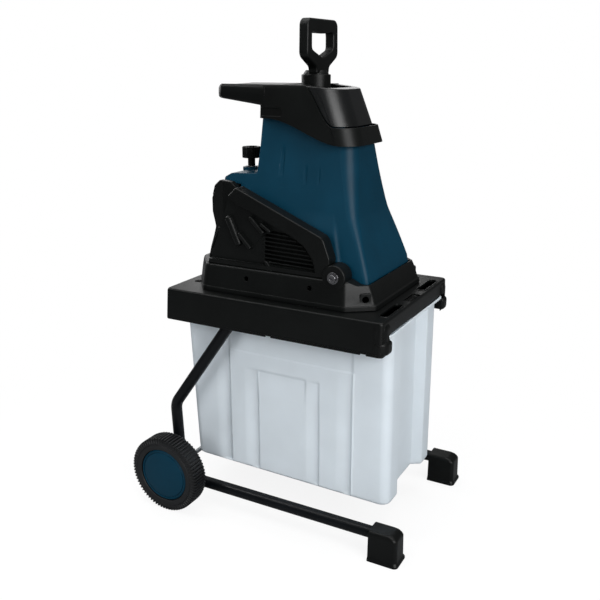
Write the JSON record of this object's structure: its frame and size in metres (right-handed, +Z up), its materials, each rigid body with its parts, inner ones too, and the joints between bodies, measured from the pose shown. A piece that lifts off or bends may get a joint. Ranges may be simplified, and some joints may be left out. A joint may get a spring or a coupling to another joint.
{
  "type": "wood chipper",
  "caption": "Electric garden shredder with a tilting feed hopper, D-handle pusher, knife disc drive, pull-out collecting box, tube frame, two wheels and two feet.",
  "frame": {"origin": "on the ground under the middle of the whole machine", "axes": "+X is the front, where the feet are and the collecting box pulls out; +Y is the left side; +Z is up"},
  "size_m": [0.627, 0.506, 1.047],
  "materials": {
    "black_plastic": "fine moulded grain, semi-matt",
    "gloss_black_plastic": "smooth satin to gloss",
    "blue_plastic": "satin moulded",
    "box_plastic": "translucent, lightly frosted",
    "black_steel": "powder coated",
    "bare_steel": "zinc plated",
    "dark_steel": "blackened",
    "tyre_plastic": "ribbed tread",
    "belt_rubber": "matt",
    "red_plastic": "smooth",
    "green_plastic": "smooth",
    "motor_windings": "laminated steel and lacquered copper"
  },
  "bodies": {
    "frame": {"right_frame_tube": "black_steel", "left_frame_tube": "black_steel", "right_foot": "black_plastic", "left_foot": "black_plastic", "right_push_nut": "bare_steel", "left_push_nut": "bare_steel", "right_axle_washer": "bare_steel", "left_axle_washer": "bare_steel", "right_rear_frame_screw": "bare_steel", "left_rear_frame_screw": "bare_steel", "right_front_frame_screw": "bare_steel", "left_front_frame_screw": "bare_steel", "right_side_cover": "black_plastic", "left_side_cover": "black_plastic", "right_hinge_bolt": "dark_steel", "left_hinge_bolt": "dark_steel", "axle": "bare_steel", "tray": "black_plastic", "base_housing": "black_plastic", "rear_housing": "black_plastic", "power_inlet": "black_plastic", "motor_stator": "motor_windings", "motor_lower_shield": "bare_steel", "motor_upper_shield": "bare_steel", "motor_lower_bearing": "bare_steel", "motor_upper_bearing": "bare_steel", "drive_belt": "belt_rubber", "spindle_lower_bearing": "bare_steel", "spindle_upper_bearing": "bare_steel", "interlock_switch": "black_plastic"},
    "right_wheel": {"right_wheel": "tyre_plastic", "right_hub_cap": "blue_plastic"},
    "left_wheel": {"left_wheel": "tyre_plastic", "left_hub_cap": "blue_plastic"},
    "collection_box": {"collection_box": "box_plastic"},
    "box_lock": {"box_lock_slider": "black_plastic"},
    "hopper": {"hopper_shell": "blue_plastic", "feed_chute": "black_plastic", "hopper_collar": "black_plastic", "hopper_cap": "gloss_black_plastic"},
    "pusher": {"plunger": "black_plastic"},
    "lock_washer": {"lock_washer": "bare_steel"},
    "lock_knob": {"lock_knob": "black_plastic"},
    "blade_rotor": {"blade_spindle": "bare_steel", "blade_pulley": "bare_steel", "blade_disc": "bare_steel", "first_blade": "bare_steel", "second_blade": "bare_steel", "first_blade_inner_screw": "bare_steel", "first_blade_outer_screw": "bare_steel", "second_blade_inner_screw": "bare_steel", "second_blade_outer_screw": "bare_steel", "disc_nut": "bare_steel"},
    "motor_rotor": {"motor_rotor": "bare_steel", "cooling_fan": "black_plastic", "motor_pulley": "bare_steel"},
    "off_button": {"off_button": "red_plastic"},
    "on_button": {"on_button": "green_plastic"},
    "reset_button": {"reset_button": "red_plastic"}
  },
  "joints": [
    {"name": "right_wheel_spin", "type": "hinge", "parent": "frame", "child": "right_wheel", "pos_m": [-0.2265, -0.23, 0.087], "axis": [0, 1, 0], "continuous": true},
    {"name": "left_wheel_spin", "type": "hinge", "parent": "frame", "child": "left_wheel", "pos_m": [-0.2265, 0.23, 0.087], "axis": [0, 1, 0], "continuous": true},
    {"name": "box_slide", "type": "slide", "parent": "frame", "child": "collection_box", "axis": [1, 0, 0], "range_m": [0, 0.45]},
    {"name": "box_lock_slide", "type": "slide", "parent": "frame", "child": "box_lock", "axis": [0, 0, -1], "range_m": [0, 0.01]},
    {"name": "hopper_tilt", "type": "hinge", "parent": "frame", "child": "hopper", "pos_m": [0.138, 0, 0.566], "axis": [0, 1, 0], "range_deg": [0, 42]},
    {"name": "pusher_slide", "type": "slide", "parent": "hopper", "child": "pusher", "axis": [0, 0, 1], "range_m": [0, 0.22]},
    {"name": "lock_lift", "type": "slide", "parent": "hopper", "child": "lock_washer", "axis": [0, 0, 1], "range_m": [0, 0.012]},
    {"name": "lock_turn", "type": "hinge", "parent": "lock_washer", "child": "lock_knob", "pos_m": [-0.138, 0, 0.78], "axis": [0, 0, 1], "range_deg": [0, 1440]},
    {"name": "blade_spin", "type": "hinge", "parent": "frame", "child": "blade_rotor", "pos_m": [0.062, 0, 0.568], "axis": [0, 0, 1], "continuous": true},
    {"name": "motor_spin", "type": "hinge", "parent": "frame", "child": "motor_rotor", "pos_m": [-0.1, 0, 0.59], "axis": [0, 0, 1], "continuous": true},
    {"name": "off_button_press", "type": "slide", "parent": "frame", "child": "off_button", "axis": [0.8944, 0, -0.4472], "range_m": [0, 0.003]},
    {"name": "on_button_press", "type": "slide", "parent": "frame", "child": "on_button", "axis": [0.8944, 0, -0.4472], "range_m": [0, 0.003]},
    {"name": "reset_button_press", "type": "slide", "parent": "frame", "child": "reset_button", "axis": [0.8944, 0, -0.4472], "range_m": [0, 0.0025]}
  ],
  "couplings": [
    {"joint": "motor_spin", "follows": "blade_spin", "ratio": 2.5},
    {"joint": "lock_lift", "follows": "lock_turn", "m_per_rad": 0.00047746}
  ]
}
